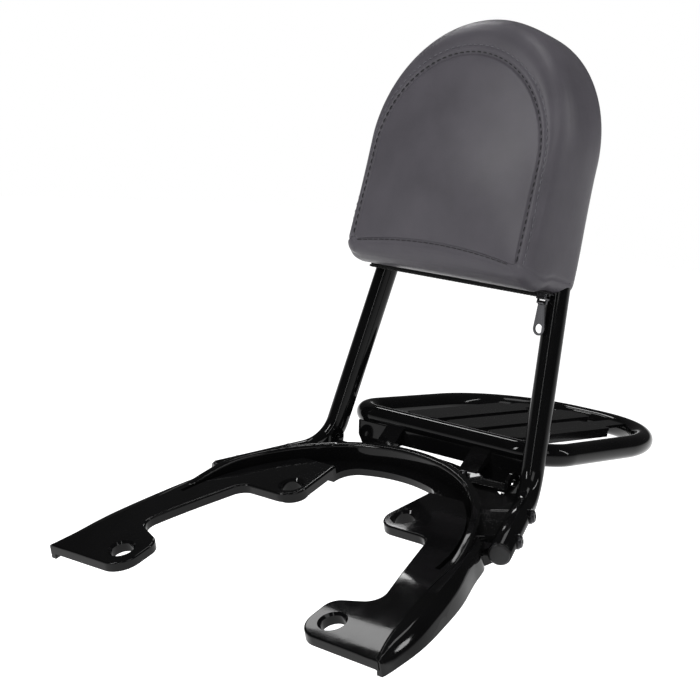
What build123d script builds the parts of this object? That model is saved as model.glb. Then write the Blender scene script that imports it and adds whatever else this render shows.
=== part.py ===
from build123d import *
import os
from math import acos, asin, atan2, cos, degrees, radians, sin, sqrt, tan

# Sissy bar for a motorbike: a cast U-shaped carrier that bolts round the tail, a bent tube hoop
# with a zipped pad, and a tube luggage rack behind it.
# Millimetres. -Y points to the front of the bike, +Z is up with the rack level, X runs across.
# The origin lies midway between the rear pair of carrier holes, on their top face.

# Carrier, drawn in its own plane (z = 0 on the ears), which climbs towards the rear
CARRIER_PITCH = 19.4
PLATE = 9.0
WALL = 6.0
REAR_HOLE_X = 71.9
REAR_HOLE_R = 10.8
FRONT_HOLE_X = 134.0
FRONT_HOLE_Y = -166.0
FRONT_HOLE_R = 11.0
HOLE_CHAMFER = 2.4
BOSS_WALL = 4.0
REAR_BOSS = 3.8
FRONT_BOSS = 2.0
EDGE_ROUND = 2.0
# Its plan: circles about one centre, set out from the flank, with the arms of the U in front of them
RIM_CENTRE_Y = -75.0
FLANK_R = 174.0
RIM_W = 9.0
GROOVE_W = 5.0
LEDGE_W = 10.0
SHELF_W = 25.5
FLANK_ANGLE = 25.5
ARM_ANGLE = 10.0
TIP_Y = -192.0
# Sections of the flank from the leg to the tip: y, end of the flat deck past the flank's radius,
# and how far the foot of the rounded outer wall stands out from there
FLANK_SECTIONS = (
    (2.0, -18.0, 2.0),
    (-14.0, -11.0, 7.5),
    (-45.0, -2.6, 10.6),
    (-75.0, 1.5, 18.0),
    (-105.0, 7.5, 20.0),
    (-132.0, 13.5, 20.0),
    (-155.0, 19.0, 17.0),
    (-178.0, 27.0, 9.5),
    (TIP_Y, 33.0, 2.5),
)
SHOULDER_ROUND = 12.0
TIP_LIP = 0.6
LOBE_X = 110.0
NECK_X = 152.0
NECK_Y = -125.0
EAR_X = 50.0
EAR_FRONT_Y = -21.0
EAR_BACK_Y = 49.0
EAR_ROOT_X = 118.0
WEB_X = 62.0
LOBE_ROUND = 23.0
NECK_ROUND = 16.0
EAR_ROUND = 20.0
WEB_ROUND = 22.0
SHELF_ROUND = 10.0
# Its side view
BEND_Y = -60.0
BEND_R = 1060.0
LEDGE_DROP = 8.0
LEDGE = 7.0
RIM_RISE = 10.0
RIM_FADE_FRONT = -66.0
RIM_FADE_REAR = 14.0
RIM_ROUND = 2.8
SHELF_DROP = 10.0
SHELF = 6.0
SKIRT_REAR = 26.0
SKIRT_TIP = 23.0
# Flange that the hoop's legs are bolted to, beside the flank
FLANGE_LONG = 111.0
FLANGE_IN = 3.0
FLANGE_NOSE = 4.0
FLANGE_TAPER = 18.0
LUG_R = 6.5
LUG_LONG = 26.0

# Hoop
TUBE_R = 11.0
TUBE_WALL = 2.0
LEAN = 11.7
TAPER = 6.3
# The legs run beside the flank: their gap from it, reach and heights in the carrier's plane
LEG_GAP = 21.0
LEG_BACK = 112.9
LEG_FRONT = 8.4
KNEE_Z = -18.5
LEG_END_Z = -11.4
KNEE_R = 45.0
HOOP_TOP_Z = 391.0
HOOP_TOP_R = 58.0
PLUG_DEPTH = 12.0
PLUG_HEAD = 2.5
PLUG_RIM = 1.0
PLUG_CLEAR = 0.3
# Leg bolts, at steps along the leg from the knee
BOLT_UPPER = 41.0
BOLT_LOWER = 95.0
BOLT_R = 4.0
BOLT_CLEAR = 0.4
BOLT_HEAD_R = 6.0
BOLT_HEAD = 3.4
BOLT_HEX = 4.0
BOLT_HEX_DEPTH = 2.0
BOLT_GRIP = 14.0
SADDLE_R = 7.0
SADDLE = 0.9

# Pad, in a plane that leans with the hoop: h runs up the lean from PAD_Z, d runs to the front
PAD_Z = 220.0
PAD_SIDE = 14.3
PAD_TAPER = 5.0
PAD_SHOULDER = 109.0
PAD_TOP = 237.0
PAD_BOTTOM = -15.0
PAD_CORNER = 12.0
PAD_BACK = 20.0
PAD_FLAT = 41.0
SEAM_INSET = 19.5
SEAM_CORNER = 6.0
SEAM_SHOULDER = 100.0
SEAM_TOP = 193.0
SEAM_BOTTOM = 3.0
SEAM_D = 68.0
CROWN = 11.0
COVER = 2.5
SLEEVE_CLEAR = 0.8

# Zip along the underside of the pad
ZIP_D = 20.0
ZIP_IN = 8.0
TAPE_W = 15.0
TAPE = 1.0
CHAIN_W = 5.0
CHAIN = 2.2
NECK_W = 1.6
NECK = 1.8
SLIDER_END = 6.5
SLIDER_LONG = 11.0
SLIDER_WALL = 1.4
SLIDER_LIP = 1.0
SLIDER_CLEAR = 0.4
BAIL_R = 0.9
BAIL_DROP = 3.0
KNUCKLE_R = 2.1
KNUCKLE_LONG = 7.0
PIVOT_CLEAR = 0.35
PULL_LONG = 31.0
PULL_TOP_W = 7.0
PULL_END_W = 13.0
PULL = 1.6
EYE_R = 4.4
TOOTH_PITCH = 4.0
TOOTH = 1.2

# Rack, level, behind the hoop
RACK_Z = 54.7
RACK_GAP = 11.5
RACK_LONG = 239.0
RACK_FRONT_HALF = 124.0
RACK_REAR_HALF = 117.0
RACK_FRONT_R = 36.0
RACK_REAR_R = 106.0
WEEP_R = 2.5
SLAT_RISE = 7.5
SLAT = 3.0
SLAT_LIP = 9.0
SLAT_PITCH = 52.0
SLAT_W = 40.0
SLAT_GAP = 12.0
SLAT_SIDE_GAP = 32.0
TONGUE_W = 22.0
TONGUE_ROUND = 5.0
# Brackets that carry the rack's front tube on the carrier's shelf
STAY_X = 55.0
STAY_W = 22.0
STAY_IN = 4.5
STAY_DEEP = 21.5
STAY_BOLT_IN = 7.5
BRACKET = 3.0
ARM_DEEP = 13.0
ARM_START = 12.0
BRACKET_EAR_X = 111.0
BRACKET_EAR_GAP = 33.0
BRACKET_EAR_TOP = 41.0
BRACKET_EAR_LOW = 16.0
BRACKET_EAR_R = 9.5
BRACKET_EAR_HOLE_R = 3.3
NUT_R = 7.5
NUT = 6.5

BIG = 400.0
CARRIER = Rot(X=CARRIER_PITCH)
RIM_INNER_R = FLANK_R - RIM_W
GROOVE_R = RIM_INNER_R - GROOVE_W
LEDGE_R = GROOVE_R - LEDGE_W
SHELF_R = FLANK_R + SHELF_W
TIP_X = FLANK_R + FLANK_SECTIONS[-1][1]
# Place on the flank where the legs run past it: x to the front, y outwards, z up
FLANK_TURN = radians(FLANK_ANGLE)
FLANK = Plane(
    origin=(FLANK_R * cos(FLANK_TURN), RIM_CENTRE_Y + FLANK_R * sin(FLANK_TURN), 0),
    x_dir=(sin(FLANK_TURN), -cos(FLANK_TURN), 0),
    z_dir=(0, 0, 1),
).location
KNEE = tuple((CARRIER * FLANK * Pos(-LEG_BACK, LEG_GAP, KNEE_Z)).position)
LEG_END = tuple((CARRIER * FLANK * Pos(LEG_FRONT, LEG_GAP, LEG_END_Z)).position)
PAD_HALF = KNEE[0] - (PAD_Z - KNEE[2]) * tan(radians(TAPER)) + PAD_SIDE
ZIP_HALF = PAD_HALF - ZIP_IN
SLIDER_X = ZIP_HALF - SLIDER_END
STAY_FRONT_Y = RIM_CENTRE_Y + FLANK_R - STAY_IN
STAY_BACK_Y = STAY_FRONT_Y + STAY_DEEP
STAY_BOLT_Y = STAY_FRONT_Y + STAY_BOLT_IN
RACK_FRONT_Y = RIM_CENTRE_Y + SHELF_R + RACK_GAP
RACK_REAR_Y = RACK_FRONT_Y + RACK_LONG
BRACKET_EAR_Y = RACK_FRONT_Y - BRACKET_EAR_GAP


def save(node, shape, colour):
    shape.label = node
    shape.color = Color(*colour)
    export_step(shape, f"parts/{node}.step")


def mirrored(shape):
    return mirror(shape, about=Plane.YZ)


def both(shape):
    return shape + mirrored(shape)


def polar(radius, angle):
    """Point of the carrier's plan at a radius and an angle about the rim's centre."""
    return (radius * cos(radians(angle)), RIM_CENTRE_Y + radius * sin(radians(angle)))


def rim_arc(radius, start, end):
    return CenterArc((0, RIM_CENTRE_Y), radius, start, end - start)


def outer_edges(inset=0.0):
    """Outer edge of one half of the carrier's deck, from the rear centre to the tip, moved inwards."""
    flank = FLANK_R - inset
    shelf = SHELF_R - inset
    corner = FLANK_ANGLE + degrees(acos(flank / shelf))
    arm = [(FLANK_R + past - inset, y) for y, past, foot in FLANK_SECTIONS[3:]]
    heading = (sin(radians(ARM_ANGLE)), -cos(radians(ARM_ANGLE)))
    return [
        rim_arc(shelf, 90, corner),
        Line(polar(shelf, corner), polar(flank, FLANK_ANGLE)),
        rim_arc(flank, FLANK_ANGLE, ARM_ANGLE),
        Spline([polar(flank, ARM_ANGLE), *arm], tangents=[heading, (0.4, -1)]),
    ]


def half_plan():
    """Plan of one half of the U: outer edge, lobed inner edge of the arm, ear and ledge."""
    web_y = RIM_CENTRE_Y + sqrt(LEDGE_R**2 - WEB_X**2)
    corners = [
        (TIP_X, TIP_Y),
        (LOBE_X, TIP_Y + 2),
        (LOBE_X, NECK_Y - NECK_ROUND),
        (NECK_X, NECK_Y),
        (EAR_ROOT_X, EAR_FRONT_Y),
        (EAR_X, EAR_FRONT_Y),
        (WEB_X, web_y),
    ]
    inner = FilletPolyline(*corners, radius=[LOBE_ROUND, NECK_ROUND, NECK_ROUND, NECK_ROUND, EAR_ROUND])
    ledge = rim_arc(LEDGE_R, degrees(atan2(web_y - RIM_CENTRE_Y, WEB_X)), 90)
    middle = Line((0, RIM_CENTRE_Y + LEDGE_R), (0, RIM_CENTRE_Y + SHELF_R))
    outer = outer_edges()
    face = make_face([*outer, *inner.edges(), ledge, middle])
    face = fillet(face.vertices().sort_by_distance((WEB_X, web_y, 0))[0], WEB_ROUND)
    return fillet(face.vertices().sort_by_distance(outer[1] @ 0)[0], SHELF_ROUND)


def half_outer(inset):
    """Area inside the outer edge of one half, closed along the middle and across the front."""
    closing = Polyline((TIP_X - inset, TIP_Y), (0, TIP_Y), (0, RIM_CENTRE_Y + SHELF_R - inset))
    return make_face([*outer_edges(inset), *closing.edges()])


def prism(face, low=-BIG / 4, high=BIG / 4):
    return extrude(Pos(Z=low) * face, high - low, dir=(0, 0, 1))


def disc(radius, low=-BIG / 4, high=BIG / 4):
    """Round slab about the rim's centre."""
    return Pos(0, RIM_CENTRE_Y, (low + high) / 2) * Cylinder(radius, high - low)


def behind(y, low=-BIG / 4, high=BIG / 4):
    """Everything to the rear of a line across the carrier."""
    return Pos(0, y + BIG / 2, (low + high) / 2) * Box(2 * BIG, BIG, high - low)


def side_slab(top, bottom):
    """One half of a solid that lies between two chains of edges in side view (y, z)."""
    ends = [Line(top[-1] @ 1, bottom[-1] @ 1), Line(bottom[0] @ 0, top[0] @ 0)]
    return extrude(Plane.YZ * make_face([*top, *bottom, *ends]), BIG, dir=(1, 0, 0))


def deck_line(drop=0.0):
    """Top of the carrier in side view, lowered: flat over the ears, bending down to the tips."""
    radius = BEND_R - drop
    turn = degrees(asin((BEND_Y - TIP_Y + WALL) / radius))
    return [Line((BIG / 2, -drop), (BEND_Y, -drop)), CenterArc((BEND_Y, -BEND_R), radius, 90, turn)]


def deck_height(y):
    """Height of the deck's top at a place along the carrier."""
    return sqrt(BEND_R**2 - min(0.0, y - BEND_Y) ** 2) - BEND_R


def skirt_height(y):
    """Height of the skirt's lower edge, which rises a little towards the tip."""
    return -SKIRT_REAR + (SKIRT_REAR - SKIRT_TIP) * min(0.0, y - BEND_Y) / (TIP_Y - BEND_Y)


def skirt_line():
    bend = (BEND_Y, -SKIRT_REAR)
    return [Line((BIG / 2, -SKIRT_REAR), bend), Line(bend, (TIP_Y, -SKIRT_TIP))]


def flank_section(y, past, foot):
    """Cross-section of the flank: a shoulder that rounds over from the deck, then a wall to the foot."""
    top = deck_height(y) - EDGE_ROUND / 10
    edge = FLANK_R + past
    drop = min(SHOULDER_ROUND, foot)
    turns = [radians(22.5 * step) for step in range(5)]
    shoulder = [(edge + 0.92 * foot * sin(turn), top - drop * (1 - cos(turn))) for turn in turns]
    low = skirt_height(y)
    under = top - PLATE
    outline = [*shoulder, (edge + foot, low), (edge + foot - WALL, low), (edge - WALL / 2, under - 1)]
    outline += [(edge - WALL, under + WALL / 2), (edge - WALL, top - WALL / 2)]
    place = Plane(origin=(0, max(y, TIP_Y + TIP_LIP), 0), x_dir=(1, 0, 0), z_dir=(0, -1, 0))
    return place * make_face(Polyline(*outline, close=True).edges())


def flank_wall():
    """Rounded outer wall of one arm, through its sections."""
    return loft([flank_section(*row) for row in FLANK_SECTIONS])


def front_hole():
    """Place of the front hole on the sloping deck, with its axis square to the deck."""
    slope = asin((BEND_Y - FRONT_HOLE_Y) / BEND_R)
    return Pos(FRONT_HOLE_X, FRONT_HOLE_Y, BEND_R * (cos(slope) - 1)) * Rot(X=degrees(slope))


def hole_cutter(radius):
    """Through hole whose chamfered mouth lies at z = 0."""
    mouth = Pos(Z=-HOLE_CHAMFER / 2) * Cone(radius, radius + HOLE_CHAMFER, HOLE_CHAMFER)
    return Cylinder(radius, BIG / 4) + mouth


def boss(radius, drop):
    """Short boss under the deck, round a hole."""
    return Pos(Z=-PLATE - drop / 2 + 0.5) * Cylinder(radius + BOSS_WALL, drop + 1)


def rounded_deck(column):
    """Top plate of one half with a rounded upper edge."""
    deck = column & side_slab(deck_line(), deck_line(PLATE))
    tops = [face for face in deck.faces() if face.normal_at().Z > 0.9]
    rims = [edge for face in tops for edge in face.edges()]
    inner = [edge for edge in rims if abs(edge.center().Y - BEND_Y) < 0.01 and abs((edge % 0.5).X) > 0.99]
    arm = NECK_X + WALL
    keep = [edge for edge in rims if edge not in inner and 0.01 < edge.center().X < arm]
    return fillet(keep, EDGE_ROUND)


def half_rim():
    """Rounded rim that rises round the rear and fades out along the flanks."""
    low = -LEDGE_DROP - LEDGE
    fade = Spline([(RIM_FADE_REAR, RIM_RISE), (RIM_FADE_FRONT, -1)], tangents=[(-1, 0), (-1, 0)])
    top = [Line((BIG / 2, RIM_RISE), (RIM_FADE_REAR, RIM_RISE)), fade]
    ring = disc(FLANK_R) - disc(RIM_INNER_R)
    rim = ring & side_slab(top, [Line((BIG / 2, low), (RIM_FADE_FRONT, low))])
    crest = [edge for edge in rim.edges() if edge.center().Z > 3 and edge.length > 20]
    return fillet(crest, RIM_ROUND)


def leg_flange():
    """Level flange from the flank to one leg, with a nose that tapers to the front."""
    front = LEG_FRONT - FLANGE_IN
    back = front - FLANGE_LONG
    inner = -WALL / 2
    nose = [(front, inner), (front, FLANGE_NOSE), (front - FLANGE_TAPER, LEG_GAP)]
    outline = Polyline(*nose, (back, LEG_GAP), (back, inner), close=True)
    return FLANK * prism(make_face(outline.edges()), -SKIRT_REAR, -SHELF_DROP)


def carrier_half():
    column = prism(half_plan())
    skirt = (prism(half_outer(0)) - prism(half_outer(WALL))) & behind(FLANK_SECTIONS[1][0])
    body = rounded_deck(column) + (skirt & side_slab(deck_line(PLATE / 2), skirt_line()))
    shelf = (column - disc(FLANK_R)) & behind(0)
    body -= shelf & behind(0, -SHELF_DROP, BIG / 4)
    body += shelf & behind(0, -SHELF_DROP - SHELF, -SHELF_DROP)
    body += flank_wall()
    start = RIM_FADE_FRONT + GROOVE_W
    groove = (disc(RIM_INNER_R) - disc(GROOVE_R)) & behind(start)
    pocket = groove + (disc(RIM_INNER_R) & behind(EAR_BACK_Y))
    body -= pocket & behind(start, -LEDGE_DROP, BIG / 4)
    floor = (disc(RIM_INNER_R + RIM_W / 2) - disc(GROOVE_R - GROOVE_W)) & behind(start)
    floor += disc(RIM_INNER_R + RIM_W / 2) & behind(EAR_BACK_Y - GROOVE_W)
    body += floor & column & behind(start, -LEDGE_DROP - LEDGE, -LEDGE_DROP)
    body += half_rim()
    body += leg_flange()
    body += Pos(REAR_HOLE_X, 0, 0) * boss(REAR_HOLE_R, REAR_BOSS)
    body += front_hole() * boss(FRONT_HOLE_R, FRONT_BOSS)
    body -= Pos(REAR_HOLE_X, 0, 0) * hole_cutter(REAR_HOLE_R)
    return body - front_hole() * hole_cutter(FRONT_HOLE_R)


def hoop_path():
    """Centre line of the bent tube, from the right leg's end over the top to the left leg's end."""
    rise = HOOP_TOP_Z - KNEE[2]
    top = (KNEE[0] - rise * tan(radians(TAPER)), KNEE[1] + rise * tan(radians(LEAN)), HOOP_TOP_Z)
    right = [LEG_END, KNEE, top]
    left = [(-x, y, z) for x, y, z in reversed(right)]
    return FilletPolyline(*right, *left, radius=[KNEE_R, HOOP_TOP_R, HOOP_TOP_R, KNEE_R])


def rack_path():
    """Centre line of the rack's closed tube, narrower at the rear."""
    front = [(RACK_FRONT_HALF, RACK_FRONT_Y, RACK_Z), (-RACK_FRONT_HALF, RACK_FRONT_Y, RACK_Z)]
    rear = [(-RACK_REAR_HALF, RACK_REAR_Y, RACK_Z), (RACK_REAR_HALF, RACK_REAR_Y, RACK_Z)]
    rounds = [RACK_FRONT_R, RACK_FRONT_R, RACK_REAR_R, RACK_REAR_R]
    return FilletPolyline(*front, *rear, radius=rounds, close=True)


def rod(path, radius):
    """Round bar along a path."""
    return sweep(Plane(origin=path @ 0, z_dir=path % 0) * Circle(radius), path=path)


def leg_plane(step):
    """Plane on the right leg's axis: x down the leg, z outwards along the bolts."""
    knee = Vector(*KNEE)
    along = (Vector(*LEG_END) - knee).normalized()
    up = Vector(0, -sin(radians(CARRIER_PITCH)), cos(radians(CARRIER_PITCH)))
    return Plane(origin=knee + along * step, x_dir=along, z_dir=up.cross(along))


def bolt(grip):
    """Button-head bolt: head above z = 0 with a hexagon socket, shank below."""
    head = Pos(Z=BOLT_HEAD / 2) * Cylinder(BOLT_HEAD_R, BOLT_HEAD)
    head = fillet(head.edges().group_by(Axis.Z)[-1], BOLT_HEAD * 0.8)
    socket = prism(RegularPolygon(BOLT_HEX / 2, 6, major_radius=False), BOLT_HEAD - BOLT_HEX_DEPTH, BIG)
    return head - socket + Pos(Z=-grip / 2) * Cylinder(BOLT_R, grip)


def saddle_washer(tube):
    """Washer on the right leg, flat under the bolt head and hollow to the tube, in the leg's plane."""
    high = TUBE_R + SADDLE
    washer = Pos(Z=high / 2) * (Cylinder(SADDLE_R, high) - Cylinder(BOLT_R + BOLT_CLEAR, high))
    return washer - tube


def end_plug():
    """Domed cap pressed into the end of a leg; z = 0 is the tube's end face."""
    head = Pos(Z=PLUG_HEAD / 2) * Cylinder(TUBE_R - PLUG_RIM, PLUG_HEAD)
    head = fillet(head.edges().group_by(Axis.Z)[-1], PLUG_HEAD * 0.8)
    return head + Pos(Z=-PLUG_DEPTH / 2) * Cylinder(TUBE_R - TUBE_WALL - PLUG_CLEAR, PLUG_DEPTH)


def lug(step):
    """Cast lug between the carrier's flank and the right leg, around one bolt."""
    return leg_plane(step) * Pos(Z=-LUG_LONG / 2) * Cylinder(LUG_R, LUG_LONG)


def pad_plane(d, h=0.0):
    """Plane across the pad at depth d in front of the hoop: y runs up the lean, z to the front."""
    lean = radians(LEAN)
    rise = PAD_Z - KNEE[2]
    foot = Vector(0, KNEE[1] + rise * tan(lean), PAD_Z)
    up = Vector(0, sin(lean), cos(lean))
    front = Vector(0, -cos(lean), sin(lean))
    return Plane(origin=foot + front * d + up * h, x_dir=(1, 0, 0), z_dir=front)


def arch(d, foot, half, shoulder, top, bottom, corner):
    """Arched outline: flat bottom with round corners, leaning sides and half an ellipse above."""
    line = [(-half, shoulder), (-foot, bottom), (foot, bottom), (half, shoulder)]
    sides = FilletPolyline(*line, radius=corner)
    over = EllipticalCenterArc((0, shoulder), half, top - shoulder, 0, arc_size=180)
    return pad_plane(d) * make_face([*sides.edges(), over])


def pad_block(inset=0.0):
    """Pad shape, from the rounded back through the wide band to the crowned front panel."""
    half = PAD_HALF - PAD_TAPER
    seam_half = PAD_HALF - SEAM_INSET
    full = (PAD_HALF, half, PAD_SHOULDER, PAD_TOP, PAD_BOTTOM, PAD_CORNER)
    seam = (seam_half, seam_half, SEAM_SHOULDER, SEAM_TOP, SEAM_BOTTOM, SEAM_CORNER)
    middle = (SEAM_TOP + SEAM_BOTTOM) / 2

    def tucked(by):
        return (PAD_HALF - by, half - by, PAD_SHOULDER, PAD_TOP - by, PAD_BOTTOM + by, PAD_CORNER)

    def between(part, bottom_part):
        mixed = [a + (b - a) * part for a, b in zip(full, seam)]
        mixed[4] = PAD_BOTTOM + (SEAM_BOTTOM - PAD_BOTTOM) * bottom_part
        return mixed

    def crowned(scale):
        heights = [middle + (value - middle) * scale for value in seam[2:5]]
        return (seam_half * scale, seam_half * scale, *heights, SEAM_CORNER)

    sections = [
        (inset - PAD_BACK, tucked(PAD_BACK / 2)),
        (-PAD_BACK * 0.7, tucked(PAD_BACK / 5)),
        (-PAD_BACK * 0.2, full),
        (PAD_FLAT - CROWN, full),
        (PAD_FLAT, between(0.08, 0.4)),
        ((PAD_FLAT + SEAM_D) / 2, between(0.42, 0.75)),
        (SEAM_D, seam),
        (SEAM_D + CROWN * 0.6, crowned(0.88)),
        (SEAM_D + CROWN - inset, crowned(0.6)),
    ]
    faces = []
    for d, (foot, side, up, top, low, corner) in sections:
        faces.append(arch(d, foot - inset, side - inset, up, top - inset, low + inset, corner - inset))
    return loft(faces, ruled=True)


def zip_plane():
    """Plane on the pad's underside along the zip: x across, y to the front, z out of the pad."""
    place = pad_plane(ZIP_D, PAD_BOTTOM)
    return Plane(origin=place.origin, x_dir=(1, 0, 0), z_dir=-place.y_dir)


def bar(long, wide, low, high):
    return Pos(Z=(low + high) / 2) * Box(long, wide, high - low)


def zip_chain():
    """Row of teeth on a neck; the teeth are a comb in side view, carried across the chain."""
    low = TAPE + NECK
    high = low + CHAIN
    comb = [(-ZIP_HALF, low)]
    count = int(2 * ZIP_HALF / TOOTH_PITCH)
    for tooth in range(count):
        x = -ZIP_HALF + tooth * TOOTH_PITCH
        comb += [(x, high), (x + TOOTH_PITCH / 2, high)]
        comb += [(x + TOOTH_PITCH / 2, high - TOOTH), (x + TOOTH_PITCH, high - TOOTH)]
    comb += [(-ZIP_HALF + count * TOOTH_PITCH, low)]
    face = Plane.XZ * make_face(Polyline(*comb, close=True).edges())
    teeth = extrude(face, CHAIN_W / 2, both=True)
    return zip_plane() * (teeth + bar(2 * ZIP_HALF, NECK_W, TAPE, low))


def slider_depth():
    return TAPE + NECK + CHAIN + SLIDER_CLEAR + SLIDER_WALL


def zip_slider():
    """Channel that runs on the chain, with a bail underneath for the pull."""
    deep = slider_depth()
    room = CHAIN_W + 2 * SLIDER_CLEAR
    body = bar(SLIDER_LONG, room + 2 * SLIDER_WALL, TAPE + SLIDER_CLEAR, deep)
    body = fillet(body.edges().filter_by(Axis.Z), SLIDER_WALL)
    body -= bar(BIG, room, TAPE + SLIDER_CLEAR + SLIDER_LIP, deep - SLIDER_WALL)
    body -= bar(BIG, NECK_W + 2 * SLIDER_CLEAR, 0, deep - SLIDER_WALL)
    post_x = KNUCKLE_LONG / 2 + PIVOT_CLEAR + BAIL_R
    for side in (-1, 1):
        body += Pos(side * post_x, 0, 0) * bar(2 * BAIL_R, 2 * BAIL_R, deep - 0.5, deep + BAIL_DROP + BAIL_R)
    body += Pos(0, 0, deep + BAIL_DROP) * Rot(Y=90) * Cylinder(BAIL_R, 2 * post_x)
    return zip_plane() * Pos(SLIDER_X, 0, 0) * body


def pull_pivot():
    return (zip_plane() * Pos(SLIDER_X, 0, slider_depth() + BAIL_DROP)).position


def zip_pull():
    """Tab that hangs plumb from the bail, with a round eye in its wide end."""
    end_r = PULL_END_W / 2
    eye = (0, end_r - PULL_LONG)
    width = PULL_TOP_W / 2
    tab = make_face(Polyline((-width, 0), (width, 0), (end_r, eye[1]), (-end_r, eye[1]), close=True).edges())
    tab += Pos(*eye) * Circle(end_r)
    tab -= Pos(*eye) * Circle(EYE_R)
    plate = extrude(Plane.XZ * tab, PULL / 2, both=True)
    plate += Rot(Y=90) * Cylinder(KNUCKLE_R, KNUCKLE_LONG)
    plate -= Rot(Y=90) * Cylinder(BAIL_R + PIVOT_CLEAR, BIG)
    return Pos(*pull_pivot()) * plate


def rack_rear(x):
    """How far back the rear tube's centre line lies at a place across the rack, round its corner too."""
    lean = (RACK_FRONT_HALF - RACK_REAR_HALF) / RACK_LONG
    centre = RACK_REAR_HALF + RACK_REAR_R * (lean - sqrt(1 + lean**2))
    return RACK_REAR_Y - RACK_REAR_R + sqrt(RACK_REAR_R**2 - max(0.0, x - centre) ** 2)


def slat(x, rear_gap, rack):
    """Folded sheet between the rack's front and rear tubes, with a narrow tongue at each end."""
    half = SLAT_W / 2
    front = RACK_FRONT_Y + TUBE_R + SLAT_GAP
    rear = rack_rear(x + half) - TUBE_R - rear_gap
    tongue = TONGUE_W / 2
    right = [(tongue, RACK_FRONT_Y), (tongue, front), (half, front)]
    right += [(half, rear), (tongue, rear), (tongue, RACK_REAR_Y)]
    left = [(-across, along) for across, along in reversed(right)]
    rounds = [0, TONGUE_ROUND, TONGUE_ROUND, TONGUE_ROUND, TONGUE_ROUND, 0]
    outline = FilletPolyline(*right, *left, radius=rounds + rounds, close=True)
    sheet = prism(make_face(outline.edges()), -SLAT, 0)
    long = rear - front - 2 * TONGUE_ROUND
    lip = Pos(half - SLAT / 2, (front + rear) / 2, -SLAT_LIP / 2) * Box(SLAT, long, SLAT_LIP)
    folded = Pos(x, 0, RACK_Z + SLAT_RISE) * (sheet + both(lip))
    return (folded & prism(make_face(rack_path().edges()))) - rack


def rack_bracket(rack):
    """Right bracket: foot on the shelf, a channel up to the front tube, arm out to a round ear."""
    low = -SHELF_DROP
    inner = STAY_X - STAY_W / 2
    edge = STAY_X + STAY_W / 2
    outer = BRACKET_EAR_X + BRACKET
    arm = STAY_FRONT_Y + ARM_DEEP
    plan = [(inner, STAY_FRONT_Y), (edge, STAY_FRONT_Y), (outer, arm - ARM_START), (outer, arm)]
    plan += [(edge + ARM_START, arm), (edge, STAY_BACK_Y), (inner, STAY_BACK_Y)]
    foot = prism(make_face(Polyline(*plan, close=True).edges()), low, low + BRACKET)
    foot -= Pos(STAY_X, STAY_BOLT_Y, 0) * Cylinder(BOLT_R + BOLT_CLEAR, BIG / 4)
    bracket = CARRIER * foot
    bolt_room = BOLT_HEAD_R + BOLT_CLEAR
    heel = (CARRIER * Pos(0, STAY_BOLT_Y + bolt_room, low + BRACKET / 2)).position
    toe = (CARRIER * Pos(0, STAY_BACK_Y, low + BRACKET / 2)).position
    front = (RACK_FRONT_Y - TUBE_R * 0.7, RACK_Z)
    back = (RACK_FRONT_Y + TUBE_R * 0.4, RACK_Z - TUBE_R * 0.4)
    side = Plane.YZ * make_face(Polyline((heel.Y, heel.Z), (toe.Y, toe.Z), back, front, close=True).edges())
    for x in (inner, edge - BRACKET):
        bracket += extrude(Pos(X=x) * side, BRACKET, dir=(1, 0, 0))
    web = [(heel.Y, heel.Z), (heel.Y + BRACKET, heel.Z), (front[0] + BRACKET, front[1]), front]
    panel = Plane.YZ * make_face(Polyline(*web, close=True).edges())
    bracket += extrude(Pos(X=inner) * panel, STAY_W, dir=(1, 0, 0))
    ear_z = (BRACKET_EAR_TOP + BRACKET_EAR_LOW) / 2
    long = BRACKET_EAR_TOP - BRACKET_EAR_LOW
    ear = Pos(BRACKET_EAR_Y, ear_z) * SlotOverall(long, 2 * BRACKET_EAR_R, rotation=90)
    ear -= Pos(BRACKET_EAR_Y, BRACKET_EAR_TOP - BRACKET_EAR_R) * Circle(BRACKET_EAR_HOLE_R)
    bracket += extrude(Pos(X=BRACKET_EAR_X) * (Plane.YZ * ear), BRACKET, dir=(1, 0, 0))
    return bracket - rack


def stay_bolt_place(z):
    return CARRIER * Pos(STAY_X, STAY_BOLT_Y, z)


def nut():
    blank = prism(RegularPolygon(NUT_R, 6), -NUT, 0)
    return blank - Cylinder(BOLT_R + BOLT_CLEAR, BIG)


os.makedirs("parts", exist_ok=True)
BLACK = (0.02, 0.02, 0.02)
STEEL = (0.55, 0.56, 0.58)
LEATHER = (0.08, 0.08, 0.085)
FOAM = (0.75, 0.72, 0.6)

bar_line = hoop_path()
bar_rod = rod(bar_line, TUBE_R)
steps = (("upper", BOLT_UPPER), ("lower", BOLT_LOWER))

casting = CARRIER * both(carrier_half())
for name, step in steps:
    casting += both(lug(step))
casting -= bar_rod
for name, step in steps:
    casting -= both(leg_plane(step) * Cylinder(BOLT_R + BOLT_CLEAR, 2 * (TUBE_R + BOLT_GRIP + 1)))
casting -= both(stay_bolt_place(-SHELF_DROP) * Cylinder(BOLT_R + BOLT_CLEAR, BIG / 8))
save("carrier", casting, BLACK)

hoop = bar_rod - rod(bar_line, TUBE_R - TUBE_WALL)
for name, step in steps:
    hoop -= both(leg_plane(step) * Cylinder(BOLT_R + BOLT_CLEAR, 4 * TUBE_R))
save("hoop", hoop, BLACK)

seat = TUBE_R + SADDLE
leg_end = Plane(origin=LEG_END, z_dir=Vector(*LEG_END) - Vector(*KNEE))
right_pieces = {"end_plug": (leg_end * end_plug(), BLACK)}
for name, step in steps:
    place = leg_plane(step)
    right_pieces[f"saddle_{name}"] = (place * saddle_washer(Rot(Y=90) * Cylinder(TUBE_R, BIG)), BLACK)
    right_pieces[f"leg_bolt_{name}"] = (place * Pos(Z=seat) * bolt(seat + TUBE_R + BOLT_GRIP), STEEL)

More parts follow.
